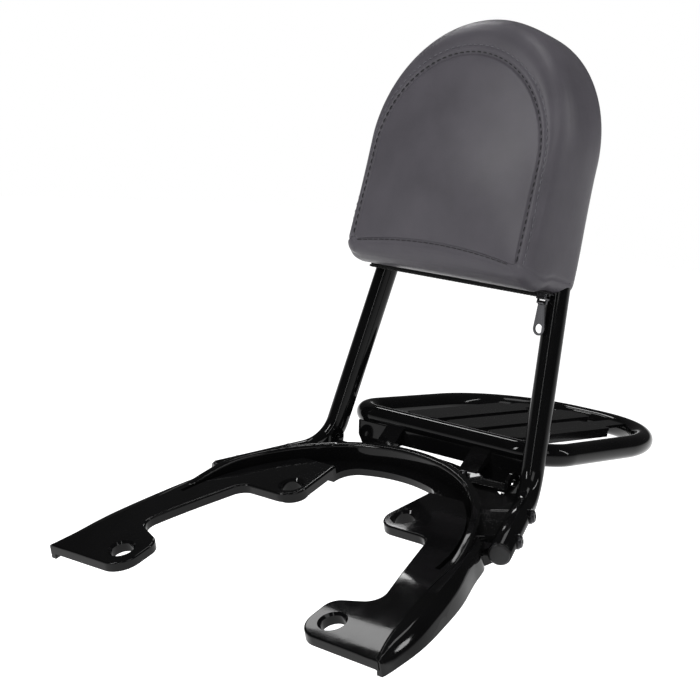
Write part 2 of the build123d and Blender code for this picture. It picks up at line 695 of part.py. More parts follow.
rack_line = rack_path()
rack_rod = rod(rack_line, TUBE_R)
rack = rack_rod - rod(rack_line, TUBE_R - TUBE_WALL)
rack -= Pos(0, RACK_REAR_Y, RACK_Z - TUBE_R) * Cylinder(WEEP_R, TUBE_R)
save("rack_hoop", rack, BLACK)
side_slat = slat(SLAT_PITCH, SLAT_SIDE_GAP, rack_rod)
save("slat_centre", slat(0, SLAT_GAP, rack_rod), BLACK)
right_pieces["slat"] = (side_slat, BLACK)
right_pieces["rack_bracket"] = (rack_bracket(rack_rod), BLACK)
stack = BRACKET + SHELF
right_pieces["stay_bolt"] = (stay_bolt_place(BRACKET - SHELF_DROP) * bolt(stack + NUT + 1), STEEL)
right_pieces["stay_nut"] = (stay_bolt_place(-SHELF_DROP - SHELF) * nut(), STEEL)

for node, (shape, colour) in right_pieces.items():
    save(f"{node}_right", shape, colour)
    save(f"{node}_left", mirrored(shape), colour)

sleeve = rod(bar_line, TUBE_R + SLEEVE_CLEAR)
save("pad_cover", pad_block() - pad_block(COVER) - sleeve, LEATHER)
filling = pad_block(COVER) - bar_rod
front_half = pad_plane(0) * Pos(Z=BIG / 2) * Box(2 * BIG, 3 * BIG, BIG)
save("foam_front", filling & front_half, FOAM)
save("foam_back", filling - front_half, FOAM)

save("zip_tape", zip_plane() * bar(2 * ZIP_HALF, TAPE_W, 0, TAPE), LEATHER)
save("zip_chain", zip_chain(), STEEL)
save("zip_slider", zip_slider(), STEEL)
save("zip_pull", zip_pull(), STEEL)
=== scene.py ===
from math import cos, pi, radians, sin

import bmesh
import bpy
import numpy as np
from bpy.props import FloatProperty, FloatVectorProperty, IntProperty, PointerProperty
from mathutils import Matrix, Vector


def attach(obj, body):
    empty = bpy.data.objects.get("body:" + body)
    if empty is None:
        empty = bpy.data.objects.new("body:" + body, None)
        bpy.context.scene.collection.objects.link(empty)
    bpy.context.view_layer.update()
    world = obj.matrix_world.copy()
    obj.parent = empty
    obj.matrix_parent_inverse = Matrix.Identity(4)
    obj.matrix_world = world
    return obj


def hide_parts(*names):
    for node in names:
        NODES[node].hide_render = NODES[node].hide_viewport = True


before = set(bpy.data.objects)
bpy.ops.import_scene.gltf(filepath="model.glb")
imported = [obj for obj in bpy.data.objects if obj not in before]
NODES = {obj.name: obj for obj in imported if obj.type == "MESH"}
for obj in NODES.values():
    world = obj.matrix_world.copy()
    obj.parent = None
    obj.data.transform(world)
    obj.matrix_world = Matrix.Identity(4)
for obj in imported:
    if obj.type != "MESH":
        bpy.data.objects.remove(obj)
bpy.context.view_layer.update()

bl_info = {
    "name": "Sissy bar dressing",
    "version": (1, 0, 0),
    "blender": (4, 5, 0),
    "location": "View3D > Sidebar > Sissy bar",
    "description": "Dresses the packed sissy bar with its pad, stitching, paint and stage",
    "category": "Object",
}

MM = 0.001
# Angle past which an edge is shaded sharp, and distance within which loose points are joined
SHARP_ANGLE = radians(32)
JOIN_DISTANCE = 2e-6


# Values that a user would change

class PadSizes(bpy.types.PropertyGroup):
    """Sizes of the pad, in the plane that leans with the hoop."""

    lean: FloatProperty(
        name="Lean", description="Angle of the hoop from upright",
        default=radians(11.7), subtype="ANGLE")
    foot: FloatVectorProperty(
        name="Foot", description="Point on the hoop's plane that heights are counted from",
        default=(0.0, 0.152251, 0.220), subtype="XYZ", unit="LENGTH")
    crown: FloatProperty(
        name="Crown", description="Rise of the front panel over its seam",
        default=0.0115, unit="LENGTH")
    swell: FloatProperty(
        name="Swell", description="Most that the band and the bottom swell",
        default=0.003, unit="LENGTH")
    pressure: FloatProperty(
        name="Pressure", description="Pressure of the filling on the cover", default=4.0)
    welt: FloatProperty(
        name="Welt width", description="Distance between the two stitched lines",
        default=0.0088, unit="LENGTH")
    stitch_pitch: FloatProperty(
        name="Stitch pitch", description="Distance from stitch to stitch",
        default=0.007, unit="LENGTH")
    columns: IntProperty(
        name="Columns", description="Grid columns round the pad's arch", default=180, min=60)


class TubeSizes(bpy.types.PropertyGroup):
    """Sizes of the bent tubes."""

    radius: FloatProperty(
        name="Radius", description="Outer radius of both tubes", default=0.011, unit="LENGTH")
    segments: IntProperty(name="Segments", description="Faces round a tube", default=56, min=12)


class Finishes(bpy.types.PropertyGroup):
    """Colours of the finishes."""

    paint: FloatVectorProperty(
        name="Paint", description="Gloss paint on metal",
        default=(0.0035, 0.0035, 0.0037), subtype="COLOR")
    leather: FloatVectorProperty(
        name="Leather", description="Pad cover", default=(0.077, 0.072, 0.084), subtype="COLOR")
    thread: FloatVectorProperty(
        name="Thread", description="Stitching", default=(0.016, 0.016, 0.018), subtype="COLOR")
    gunmetal: FloatVectorProperty(
        name="Gunmetal", description="Zip slider, pull and teeth",
        default=(0.085, 0.085, 0.09), subtype="COLOR")


class StageSizes(bpy.types.PropertyGroup):
    """Camera and stage."""

    camera_at: FloatVectorProperty(
        name="Camera", description="Place of the camera", default=(1.210908, -1.376413, 0.391208),
        subtype="XYZ", unit="LENGTH")
    azimuth: FloatProperty(
        name="Azimuth", description="Camera's turn round the object",
        default=radians(41.6691), subtype="ANGLE")
    elevation: FloatProperty(
        name="Elevation", description="Camera's height angle",
        default=radians(7.7666), subtype="ANGLE")
    roll: FloatProperty(
        name="Roll", description="Camera's turn about its own line of sight",
        default=radians(5.6408), subtype="ANGLE")
    lens: FloatProperty(name="Lens", description="Focal length in millimetres", default=102.857)
    floor_z: FloatProperty(
        name="Floor", description="Height of the floor", default=-0.30, unit="LENGTH")


# Mesh helpers

def unit(vectors):
    """Vectors over their lengths."""
    return vectors / np.maximum(np.linalg.norm(vectors, axis=-1, keepdims=True), 1e-12)


def grid_faces(rows, cols, close_rows, close_cols):
    """Corner numbers of the quads of a grid, joined round where it closes."""
    r = np.arange(rows if close_rows else rows - 1)[:, None]
    c = np.arange(cols if close_cols else cols - 1)[None, :]
    r1, c1 = (r + 1) % rows, (c + 1) % cols
    corners = (r * cols + c, r * cols + c1, r1 * cols + c1, r1 * cols + c)
    return np.stack(np.broadcast_arrays(*corners), -1).reshape(-1, 4)


def capped_faces(rows, cols):
    """Faces of a grid closed round its columns, with a cap on its first and its last row."""
    first = list(range(cols))
    last = [(rows - 1) * cols + c for c in range(cols)]
    return grid_faces(rows, cols, False, True).tolist() + [first[::-1], last]


def new_piece(name, points, faces, material, body="frame"):
    """Object at the origin from an array of points and lists of faces, smooth, riding on a body."""
    mesh = bpy.data.meshes.new(name)
    mesh.from_pydata(points.reshape(-1, 3).tolist(), [], faces)
    mesh.update()
    mesh.shade_smooth()
    mesh.materials.append(material)
    piece = bpy.data.objects.new(name, mesh)
    bpy.context.scene.collection.objects.link(piece)
    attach(piece, body)
    return piece


def outward(piece):
    """Turns all faces of a closed piece outwards."""
    work = bmesh.new()
    work.from_mesh(piece.data)
    bmesh.ops.recalc_face_normals(work, faces=work.faces)
    work.to_mesh(piece.data)
    work.free()


def merged_copy(node, name, material, body="frame"):
    """Copy of a CAD node with its loose triangles joined and its edges sharp past an angle."""
    work = bmesh.new()
    work.from_mesh(NODES[node].data)
    bmesh.ops.remove_doubles(work, verts=work.verts, dist=JOIN_DISTANCE)
    mesh = bpy.data.meshes.new(name)
    work.to_mesh(mesh)
    work.free()
    if "custom_normal" in mesh.attributes:
        mesh.attributes.remove(mesh.attributes["custom_normal"])
    mesh.shade_smooth()
    mesh.set_sharp_from_angle(angle=SHARP_ANGLE)
    mesh.materials.clear()
    mesh.materials.append(material)
    piece = bpy.data.objects.new(name, mesh)
    bpy.context.scene.collection.objects.link(piece)
    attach(piece, body)
    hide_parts(node)
    return piece


def rounded_path(corners, radii, closed=False, step=radians(2.0)):
    """Points and directions along straight runs joined by arcs: at each corner the arc's centre
    lies radius / cos(half turn) from the corner on the bisector, and its points turn about it."""
    corners = np.asarray(corners, float)
    count = len(corners)
    turning = range(count) if closed else range(1, count - 1)
    points, ways = [], []
    for i in turning:
        before = unit(corners[i] - corners[i - 1])
        after = unit(corners[(i + 1) % count] - corners[i])
        turn = np.arccos(np.clip(before @ after, -1, 1))
        radius = radii[i % len(radii)] if closed else radii[i - 1]
        inward = unit(after - before)
        centre = corners[i] + inward * radius / np.cos(turn / 2)
        angles = np.linspace(-turn / 2, turn / 2, max(4, int(turn / step)))[:, None]
        middle_way = unit(before + after)
        points.append(centre + radius * (np.sin(angles) * middle_way - np.cos(angles) * inward))
        ways.append(np.cos(angles) * middle_way + np.sin(angles) * inward)
    points, ways = np.concatenate(points), np.concatenate(ways)
    if not closed:
        points = np.concatenate([corners[:1], points, corners[-1:]])
        first, last = unit(corners[1] - corners[0]), unit(corners[-1] - corners[-2])
        ways = np.concatenate([first[None], ways, last[None]])
    return points, ways


def tube_points(points, ways, radii, side, segments):
    """Circle carried along a path: each point is path + radius (cos a * across + sin a * up), where
    across is square to the path and to a fixed side direction."""
    across = unit(np.cross(ways, np.asarray(side, float)))
    up = np.cross(across, ways)
    angle = np.linspace(0, 2 * pi, segments, endpoint=False)[None, :, None]
    ring = np.cos(angle) * across[:, None] + np.sin(angle) * up[:, None]
    return points[:, None] + np.asarray(radii, float)[:, None, None] * ring


# Materials

def map_range(tree, value, source, target):
    """Value carried from one range to another; a target end may be a socket."""
    ramp = tree.nodes.new("ShaderNodeMapRange")
    tree.links.new(value, ramp.inputs["Value"])
    for key, end in zip(("From Min", "From Max", "To Min", "To Max"), (*source, *target)):
        if isinstance(end, (int, float)):
            ramp.inputs[key].default_value = end
        else:
            tree.links.new(end, ramp.inputs[key])
    return ramp.outputs["Result"]


class Shader:
    """Short way to write a node tree round one Principled shader."""

    def __init__(self, name):
        self.material = bpy.data.materials.new(name)
        self.material.use_nodes = True
        self.tree = self.material.node_tree
        self.surface = self.tree.nodes["Principled BSDF"]
        self.place = self.node("ShaderNodeTexCoord").outputs["Object"]

    def node(self, kind, **values):
        """New node with some of its settings."""
        made = self.tree.nodes.new(kind)
        for key, value in values.items():
            setattr(made, key, value)
        return made

    def link(self, source, target):
        self.tree.links.new(source, target)

    def plain(self, **values):
        """Constant values on the shader's own sockets."""
        for key, value in values.items():
            self.surface.inputs[key.replace("_", " ")].default_value = value

    def noise(self, scale, detail=4.0, rough=0.5, stretch=(1, 1, 1)):
        """Cloudy noise about the object's own place, stretched along its axes."""
        mapping = self.node("ShaderNodeMapping")
        mapping.inputs["Scale"].default_value = stretch
        self.link(self.place, mapping.inputs["Vector"])
        noise = self.node("ShaderNodeTexNoise")
        noise.inputs["Scale"].default_value = scale
        noise.inputs["Detail"].default_value = detail
        noise.inputs["Roughness"].default_value = rough
        self.link(mapping.outputs["Vector"], noise.inputs["Vector"])
        return noise.outputs["Fac"]

    def cells(self, scale):
        """Distance from the nearest of many scattered points."""
        cells = self.node("ShaderNodeTexVoronoi")
        cells.inputs["Scale"].default_value = scale
        self.link(self.place, cells.inputs["Vector"])
        return cells.outputs["Distance"]

    def span(self, value, low, high, from_low=0.3, from_high=0.7):
        """Value carried from one range to another, by default from the middle of a noise."""
        return map_range(self.tree, value, (from_low, from_high), (low, high))

    def sum(self, *values):
        """Values added up."""
        total = values[0]
        for value in values[1:]:
            add = self.node("ShaderNodeMath", operation="ADD")
            self.link(total, add.inputs[0])
            self.link(value, add.inputs[1])
            total = add.outputs[0]
        return total

    def colour(self, value, dark, light):
        """Colour between two by a value."""
        mix = self.node("ShaderNodeMix", data_type="RGBA")
        mix.inputs["A"].default_value = (*dark, 1)
        mix.inputs["B"].default_value = (*light, 1)
        self.link(value, mix.inputs["Factor"])
        self.link(mix.outputs["Result"], self.surface.inputs["Base Color"])

    def roughness(self, value):
        """Value as the surface's roughness."""
        self.link(value, self.surface.inputs["Roughness"])

    def bump(self, height, distance, strength):
        """Height as relief of the surface, with its depth in metres."""
        bump = self.node("ShaderNodeBump")
        bump.inputs["Distance"].default_value = distance
        bump.inputs["Strength"].default_value = strength
        self.link(height, bump.inputs["Height"])
        self.link(bump.outputs["Normal"], self.surface.inputs["Normal"])


def tint(colour, factor):
    """Colour made lighter or darker."""
    return tuple(channel * factor for channel in colour)


def gloss_paint(name, colour, rough=(0.045, 0.09)):
    """Black enamel: deep colour with faint clouds, and an orange peel of about a millimetre."""
    shader = Shader(name)
    shader.plain(Specular_IOR_Level=0.16, IOR=1.5)
    clouds = shader.noise(18, detail=3)
    shader.colour(shader.span(clouds, 0, 1), tint(colour, 0.8), tint(colour, 1.25))
    shader.roughness(shader.span(shader.noise(65, detail=5), *rough))
    shader.bump(shader.noise(420, detail=2), 0.00002, 0.25)
    return shader.material


def leather(name, colour):
    """Smooth grained leather: pebbles about a millimetre wide, faint pulls and a soft sheen."""
    shader = Shader(name)
    shader.plain(Specular_IOR_Level=0.25, Sheen_Weight=0.04, Sheen_Roughness=0.45)
    clouds = shader.noise(26, detail=5)
    shader.colour(shader.span(clouds, 0, 1), tint(colour, 0.9), tint(colour, 1.1))
    pebbles = shader.span(shader.cells(1150), 0, 1, 0.0, 0.75)
    pulls = shader.span(shader.noise(120, detail=6, rough=0.62, stretch=(1, 1, 0.35)), 0, 1.4)
    shader.roughness(shader.span(shader.sum(pebbles, clouds), 0.33, 0.43, 0.3, 1.4))
    shader.bump(shader.sum(pebbles, pulls), 0.00012, 0.3)
    return shader.material


def twisted_thread(name, colour):
    """Sewing thread: fine diagonal plies."""
    shader = Shader(name)
    shader.plain(Specular_IOR_Level=0.35)
    ply = shader.noise(2600, detail=2, stretch=(1, 1, 0.3))
    shader.colour(shader.span(ply, 0, 1), tint(colour, 0.6), tint(colour, 1.3))
    shader.roughness(shader.span(ply, 0.5, 0.75))
    shader.bump(ply, 0.00015, 0.8)
    return shader.material


def brushed(name, colour, rough=(0.16, 0.28)):
    """Dark plated metal with a fine brushed line."""
    shader = Shader(name)
    shader.plain(Metallic=1.0)
    lines = shader.noise(1500, detail=3, stretch=(1, 1, 0.06))
    shader.colour(shader.span(lines, 0, 1), tint(colour, 0.75), tint(colour, 1.15))
    shader.roughness(shader.span(lines, *rough))
    shader.bump(lines, 0.00003, 0.5)
    return shader.material


def black_oxide(name):
    """Blackened steel of bolts and nuts, slightly cloudy."""
    shader = Shader(name)
    shader.plain(Metallic=0.75, Specular_IOR_Level=0.4)
    clouds = shader.noise(240, detail=5)
    shader.colour(shader.span(clouds, 0, 1), (0.012, 0.012, 0.013), (0.05, 0.05, 0.054))
    shader.roughness(shader.span(clouds, 0.22, 0.38))
    shader.bump(shader.noise(900, detail=2), 0.00004, 0.5)
    return shader.material


def moulded_plastic(name):
    """Satin black plastic of the plugs."""
    shader = Shader(name)
    shader.plain(Specular_IOR_Level=0.3)
    clouds = shader.noise(300, detail=4)
    shader.colour(shader.span(clouds, 0, 1), (0.006, 0.006, 0.006), (0.011, 0.011, 0.012))
    shader.roughness(shader.span(clouds, 0.3, 0.45))
    shader.bump(shader.noise(1400, detail=2), 0.00005, 0.6)
    return shader.material


def woven_tape(name):
    """Herringbone zip tape."""
    shader = Shader(name)
    shader.plain(Specular_IOR_Level=0.25)
    wave = shader.node("ShaderNodeTexWave", wave_type="BANDS", bands_direction="DIAGONAL")
    wave.inputs["Scale"].default_value = 420
    wave.inputs["Distortion"].default_value = 1.5
    shader.link(shader.place, wave.inputs["Vector"])
    shader.colour(wave.outputs["Fac"], (0.006, 0.006, 0.007), (0.02, 0.02, 0.022))
    shader.roughness(shader.span(wave.outputs["Fac"], 0.7, 0.9, 0, 1))
    shader.bump(wave.outputs["Fac"], 0.0002, 0.7)
    return shader.material


def finish(name):
    """Material by its name, made once."""
    if name in bpy.data.materials:
        return bpy.data.materials[name]
    colours = bpy.context.scene.sissy_finishes
    makers = {
        "cast_enamel": lambda: gloss_paint(name, colours.paint, (0.04, 0.08)),
        "tube_enamel": lambda: gloss_paint(name, colours.paint),
        "pad_leather": lambda: leather(name, colours.leather),
        "pad_thread": lambda: twisted_thread(name, colours.thread),
        # Outer row's thread: the dark thread made nine times lighter, a painted highlight standing
        # in for the glints of light on these stitches
        "painted_glint_thread": lambda: twisted_thread(name, tint(colours.thread, 9.0)),
        "zip_gunmetal": lambda: brushed(name, colours.gunmetal),
        "bolt_oxide": lambda: black_oxide(name),
        "plug_plastic": lambda: moulded_plastic(name),
        "zip_weave": lambda: woven_tape(name),
    }
    return makers[name]()


def repaint(node, material):
    """CAD node that keeps its shape and gets a better material."""
    mesh = NODES[node].data
    mesh.materials.clear()
    mesh.materials.append(finish(material))


# Pieces

class SISSYBAR_OT_tubes(bpy.types.Operator):
    """Sweeps the hoop and the rack's closed tube."""

    bl_idname = "sissybar.tubes"
    bl_label = "Bent tubes"

    # Right half of the hoop's corners, and the radii of its bends
    LEG_END = (0.179620, 0.005077, -0.010298)
    KNEE = (0.127399, 0.110703, 0.019371)
    TOP = (0.086371, 0.187663, 0.391)
    KNEE_ROUND = 0.045
    TOP_ROUND = 0.058
    # Corners of the closed rack tube, and the radii of its bends
    RACK = (
        (0.124, 0.136, 0.0547), (-0.124, 0.136, 0.0547),
        (-0.117, 0.375, 0.0547), (0.117, 0.375, 0.0547),
    )
    RACK_ROUND = (0.036, 0.036, 0.106, 0.106)
    # Mouth of a leg: distance into the tube and radius, from the bore out to the chamfered rim
    MOUTH_ANGLE = radians(50)
    MOUTH = ((0.010, 0.009), (0.0, 0.009), (0.0, 0.0104), (0.0006, 0.011))

    def execute(self, context):
        sizes = context.scene.sissy_tubes
        right = np.array([self.LEG_END, self.KNEE, self.TOP])
        corners = np.concatenate([right, right[::-1] * (-1, 1, 1)])
        rounds = (self.KNEE_ROUND, self.TOP_ROUND, self.TOP_ROUND, self.KNEE_ROUND)
        points, ways = rounded_path(corners, rounds)
        mouth = np.array(self.MOUTH)
        first = points[0] + ways[0] * mouth[:, :1]
        last = points[-1] - ways[-1] * mouth[::-1, :1]
        line = np.concatenate([first, points[1:-1], last])
        count = len(mouth)
        start, end = np.repeat(ways[:1], count, 0), np.repeat(ways[-1:], count, 0)
        ways = np.concatenate([start, ways[1:-1], end])
        middle = np.full(len(points) - 2, sizes.radius)
        radii = np.concatenate([mouth[:, 1], middle, mouth[::-1, 1]])
        lean = context.scene.sissy_pad.lean
        front = (0, -cos(lean), sin(lean))
        rings = tube_points(line, ways, radii, front, sizes.segments)
        faces = grid_faces(len(line), sizes.segments, False, True).tolist()
        hoop = new_piece("bent_hoop", rings, faces, finish("tube_enamel"))
        hoop.data.set_sharp_from_angle(angle=self.MOUTH_ANGLE)
        outward(hoop)
        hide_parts("hoop")

        points, ways = rounded_path(self.RACK, self.RACK_ROUND, closed=True)
        radii = np.full(len(points), sizes.radius)
        rings = tube_points(points, ways, radii, (0, 0, 1), sizes.segments)
        faces = grid_faces(len(points), sizes.segments, True, True).tolist()
        rack = new_piece("rack_tube", rings, faces, finish("tube_enamel"))
        outward(rack)
        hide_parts("rack_hoop")
        return {"FINISHED"}


class SISSYBAR_OT_casting(bpy.types.Operator):
    """Joins the carrier's triangles and paints it."""

    bl_idname = "sissybar.casting"
    bl_label = "Cast carrier"

    def execute(self, context):
        casting = merged_copy("carrier", "cast_carrier", finish("cast_enamel"))
        shading = casting.modifiers.new("shading", "WEIGHTED_NORMAL")
        shading.mode = "FACE_AREA"
        shading.keep_sharp = True
        return {"FINISHED"}


EDGE_ROUND = 0.0006
EDGE_ANGLE = radians(40)


def soften(sheet):
    """Small round on the edges of a sheet."""
    edges = sheet.modifiers.new("edges", "BEVEL")
    edges.width = EDGE_ROUND
    edges.segments = 2
    edges.limit_method = "ANGLE"
    edges.angle_limit = EDGE_ANGLE
    edges.harden_normals = True


class SISSYBAR_OT_web(bpy.types.Operator):
    """Makes the bare web plate that joins the brackets under the rack's front tube."""

    bl_idname = "sissybar.web"
    bl_label = "Bracket web"

    # Right half's corners across and up, front face and thickness (millimetres)
    OUTLINE = ((46, 34), (63, 21), (84, 21.5), (97, 26), (103.5, 35), (105, 49.5))
    FRONT, THICK = 125.5, 3.0

    def execute(self, context):
        right = np.array(self.OUTLINE)
        outline = np.concatenate([right, right[::-1] * (-1, 1)])
        count = len(outline)
        # The outline twice, at the front and the back face
        depth = np.repeat((self.FRONT, self.FRONT + self.THICK), count)
        across, up = np.tile(outline, (2, 1)).T
        points = MM * np.stack([across, depth, up], 1)
        faces = capped_faces(2, count)
        web = new_piece("bracket_web", points, faces, finish("tube_enamel"))
        outward(web)
        web.data.set_sharp_from_angle(angle=SHARP_ANGLE)
        soften(web)
        return {"FINISHED"}


class SISSYBAR_OT_sheets(bpy.types.Operator):
    """Softens the edges of the slats and brackets and paints them."""

    bl_idname = "sissybar.sheets"
    bl_label = "Slats and brackets"

    SHEETS = ("slat_left", "slat_centre", "slat_right", "rack_bracket_left", "rack_bracket_right")

    def execute(self, context):
        for node in self.SHEETS:
            soften(merged_copy(node, node + "_sheet", finish("tube_enamel")))
        return {"FINISHED"}


class SISSYBAR_OT_fasteners(bpy.types.Operator):
    """Finishes the bolts, nuts, washers and plugs."""

    bl_idname = "sissybar.fasteners"
    bl_label = "Bolts, nuts and plugs"

    def execute(self, context):
        for node in NODES:
            if node.startswith(("leg_bolt", "stay_")):
                repaint(node, "bolt_oxide")
            elif node.startswith("saddle"):
                repaint(node, "tube_enamel")
            elif node.startswith("end_plug"):
                repaint(node, "plug_plastic")
        return {"FINISHED"}


class SISSYBAR_OT_zipper(bpy.types.Operator):
    """Finishes the zip's tape, teeth, slider and pull."""

    bl_idname = "sissybar.zipper"
    bl_label = "Zip"

    def execute(self, context):
        repaint("zip_tape", "zip_weave")
        repaint("zip_chain", "plug_plastic")
        for node in ("zip_slider", "zip_pull"):
            repaint(node, "zip_gunmetal")
        return {"FINISHED"}


def eased(at, keys, values):
    """Smooth curve through keyed values: cubic pieces whose slopes never overshoot a key."""
    keys, values = np.asarray(keys, float), np.asarray(values, float)
    runs = np.diff(keys)
    slopes = np.diff(values) / runs
    left, right = slopes[:-1], slopes[1:]
    same = left * right > 0
    middle = np.where(same, 2 * left * right / np.where(same, left + right, 1), 0)
    tangents = np.concatenate([slopes[:1], middle, slopes[-1:]])
    i = np.clip(np.searchsorted(keys, at, side="right") - 1, 0, len(runs) - 1)
    t = (at - keys[i]) / runs[i]
    start, end = values[i], values[i + 1]
    lean_in, lean_out = tangents[i] * runs[i], tangents[i + 1] * runs[i]
    return (
        (2 * t**3 - 3 * t**2 + 1) * start + (t**3 - 2 * t**2 + t) * lean_in
        + (3 * t**2 - 2 * t**3) * end + (t**3 - t**2) * lean_out
    )


class PadSurface:
    """Grid of the pad's skin. Rows run from the middle of the back, over the wide band and the
    front seam, to the middle of the front panel; columns run round the arch, bottom first.

    Each row is an arch: a bottom edge with a slight bow, two round corners, leaning sides and half
    an ellipse over the shoulders. The arch's sizes are smooth curves through the keys below. The
    skin is then held at its seams, its back and the zip's track, swollen as cloth under pressure,
    and sewn."""

    # Row key, then in millimetres: depth, half widths at foot and shoulder, shoulder, top, bottom,
    # bow and corner
    KEYS = np.array([
        (0.0, -20.0, 0.5, 0.5, 104.0, 104.5, 103.5, 0.0, 0.2),
        (1.0, -20.0, 60.0, 58.0, 104.5, 165.0, 50.0, 0.0, 8.0),
        (2.0, -19.6, 103.0, 98.0, 107.0, 222.0, -2.0, 0.0, 10.0),
        (2.4, -18.0, 107.0, 102.0, 108.0, 227.5, -7.0, 0.0, 11.0),
        (3.0, -12.5, 112.5, 107.0, 111.0, 232.5, -11.0, 0.0, 12.0),
        (4.0, -2.0, 117.4, 114.6, 112.0, 236.0, -14.0, 0.0, 13.5),
        (5.0, 27.0, 117.8, 118.6, 111.0, 236.4, -14.4, 0.0, 14.0),
        (5.6, 40.0, 117.5, 118.2, 110.6, 235.6, -18.0, 0.4, 13.8),
        (6.2, 50.0, 116.2, 116.8, 109.2, 232.5, -17.0, 1.1, 13.1),
        (6.8, 57.5, 114.1, 114.5, 106.8, 227.5, -13.3, 2.0, 11.9),
        (7.3, 62.5, 111.5, 111.7, 104.0, 221.3, -11.1, 3.0, 10.4),
        (7.7, 66.0, 108.0, 107.9, 100.2, 213.2, -7.4, 4.8, 8.5),
        (8.0, 68.0, 100.2, 99.4, 91.5, 194.5, 0.5, 8.5, 4.0),
    ])
    # Row keys of the front seam, of the last row held at the back and of the zip's track
    SEAM_KEY = 8.0
    HELD_KEY = 2.4
    ZIP_KEYS = (4.1, 5.2)
    # Columns on the bottom and on a side, as shares of those over the arch, and on a corner
    BOTTOM_SHARE, SIDE_SHARE, CORNER_COLUMNS = 0.55, 0.34, 12
    # Grid that is simulated: number of rows, and every which column
    COARSE_ROWS, COARSE_STEP = 52, 3
    # Front panel's fitted rise: highest power, weight of the seam's row, and reach of the easing
    POWER, SEAM_WEIGHT, SEAM_EASE = 6, 8.0, 0.004
    # Sewn lines: place from the seam (metres), pull on the skin (millimetres) and width (metres)
    SEAM_PULL, SEAM_WIDE = 1.35, 0.0013
    OUTER_PULL, OUTER_WIDE = 1.0, 0.0012
    INNER_AT, INNER_PULL, INNER_WIDE = -0.0022, 0.35, 0.0009
    GUSSET_AT, GUSSET_PULL, GUSSET_WIDE = -0.0042, 0.45, 0.0012
    SIDE_PULL, SIDE_WIDE = 1.2, 0.0014
    # The side seams start at this row key and are full after a run of keys
    SIDE_START, SIDE_RUN = 3.2, 0.5
    # Puff of the welt (millimetres), its share of the welt's width, and the pull's change by stitch
    WELT_PUFF, WELT_SHARE, PUCKER = 0.75, 0.42, 0.28

    def __init__(self, pad):
        self.pad = pad
        self.layout(pad.columns)
        self.rows()
        self.shape()
        self.swell()
        self.sew()

    def layout(self, arch):
        """Columns: which stretch of the outline each one is on, and how far along it."""
        bottom, side = int(arch * self.BOTTOM_SHARE), int(arch * self.SIDE_SHARE)
        counts = (bottom, self.CORNER_COLUMNS, side, arch, side, self.CORNER_COLUMNS)
        self.stretch = np.repeat(np.arange(6), counts)
        self.along = np.concatenate([np.arange(n) / n for n in counts])
        self.side_columns = (self.stretch >= 2) & (self.stretch <= 4)
        self.bottom_columns = self.stretch == 0
        starts = np.concatenate([[0], np.cumsum(counts)])
        self.seam_columns = (starts[2], starts[5])

    def rows(self):
        """Row keys, closer together by the seams."""
        back = np.concatenate([np.linspace(0.0, 2.0, 9), np.linspace(2.15, 4.0, 12)])
        band = np.linspace(4.12, 7.0, 26)
        near = np.linspace(7.03, 8.0, 34)
        self.band_rows = np.concatenate([back, band[:-1], near])
        # Share of the way from the seam to the middle of the front panel
        edge = np.linspace(0.004, 0.06, 12)
        self.panel_rows = np.concatenate([edge, np.linspace(0.075, 0.985, 36)])
        self.seam_row = len(self.band_rows) - 1

    def outline(self, foot, half, shoulder, top, bottom, bow, corner):
        """Arch for each row, as x and height arrays."""
        s, f = self.stretch[None, :], self.along[None, :]
        sizes = (foot, half, shoulder, top, bottom, bow, corner)
        foot, half, shoulder, top, bottom, bow, corner = (size[:, None] for size in sizes)
        flat = foot - corner
        x0 = -flat + 2 * flat * f
        h0 = bottom + bow * (1 - (x0 / flat) ** 2)
        turn = f * pi / 2
        x1, h1 = flat + corner * np.sin(turn), bottom + corner * (1 - np.cos(turn))
        ease = f * f * (3 - 2 * f)
        rise = shoulder - bottom - corner
        x2, h2 = foot + (half - foot) * ease, bottom + corner + rise * f
        x3, h3 = half * np.cos(pi * f), shoulder + (top - shoulder) * np.sin(pi * f)
        x4, h4 = -half - (foot - half) * ease, shoulder - rise * f
        x5, h5 = -flat - corner * np.cos(turn), bottom + corner * (1 - np.sin(turn))
        x = np.choose(s, [x0, x1, x2, x3, x4, x5])
        h = np.choose(s, [h0, h1, h2, h3, h4, h5])
        return x, h

    def shape(self):
        """Points of the grid before they swell: point = foot + x across + h up + d front."""
        keys, *columns = self.KEYS.T
        depth, *sizes = (eased(self.band_rows, keys, column) for column in columns)
        x, h = self.outline(*sizes)
        d = np.broadcast_to(depth[:, None], x.shape)
        # The front panel starts flat and shrinks towards its middle
        middle = 0.5 * (sizes[3][-1] + sizes[4][-1])
        share = self.panel_rows[:, None]
        px, ph = x[-1] * (1 - share), h[-1] + (middle - h[-1]) * share
        x, h = np.concatenate([x, px]), np.concatenate([h, ph])
        d = np.concatenate([d, np.full(px.shape, depth[-1])])
        lean = self.pad.lean
        up = np.array([0, sin(lean), cos(lean)])
        self.front = np.array([0, -cos(lean), sin(lean)])
        across = np.array([1.0, 0, 0])
        self.flat = x, h - middle
        places = x[..., None] * across + h[..., None] * up + d[..., None] * self.front
        self.points = np.array(self.pad.foot) + MM * places
        self.measure()

